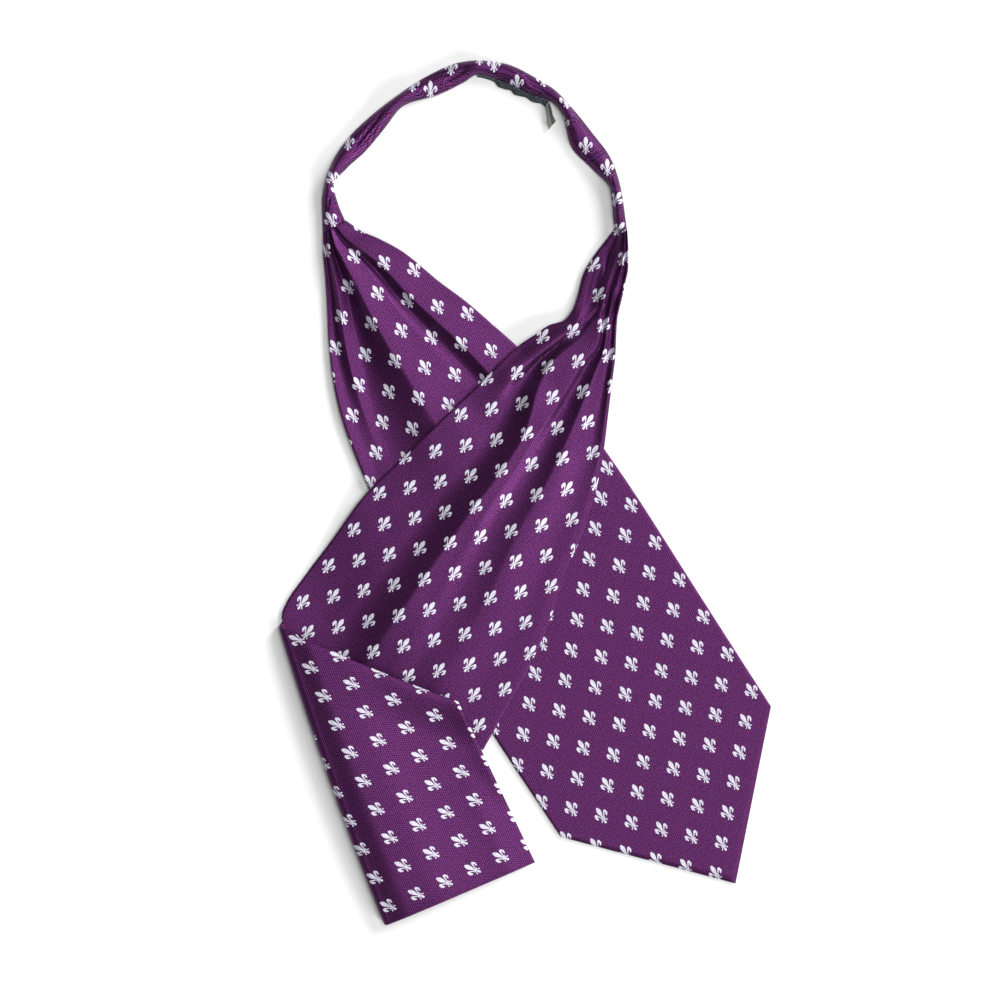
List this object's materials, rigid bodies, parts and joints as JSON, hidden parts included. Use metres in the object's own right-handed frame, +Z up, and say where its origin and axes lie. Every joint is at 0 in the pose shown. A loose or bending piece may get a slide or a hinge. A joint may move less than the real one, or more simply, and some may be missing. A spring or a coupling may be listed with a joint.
{
  "type": "silk cravat",
  "caption": "Day cravat in patterned silk, laid flat: a narrow neck band joins two wide pleated blades with pointed ends, crossed over, one end turned back.",
  "frame": {"origin": "on the surface it lies on, below the middle of its bounding box", "axes": "+Z up out of the surface, +Y from the pointed ends to the neck loop, +X to the right seen from above"},
  "size_m": [0.2951, 0.5187, 0.0165],
  "materials": {
    "blade_silk": "woven silk twill, soft sheen, small pale fleur-de-lis",
    "band_silk": "woven silk twill, folded and pressed",
    "label_tape": "matt woven tape",
    "care_tape": "satin ribbon"
  },
  "bodies": {
    "root": {"left_blade": "blade_silk", "right_blade": "blade_silk", "neck_band": "band_silk", "neck_label": "label_tape", "care_label": "care_tape"}
  },
  "joints": []
}
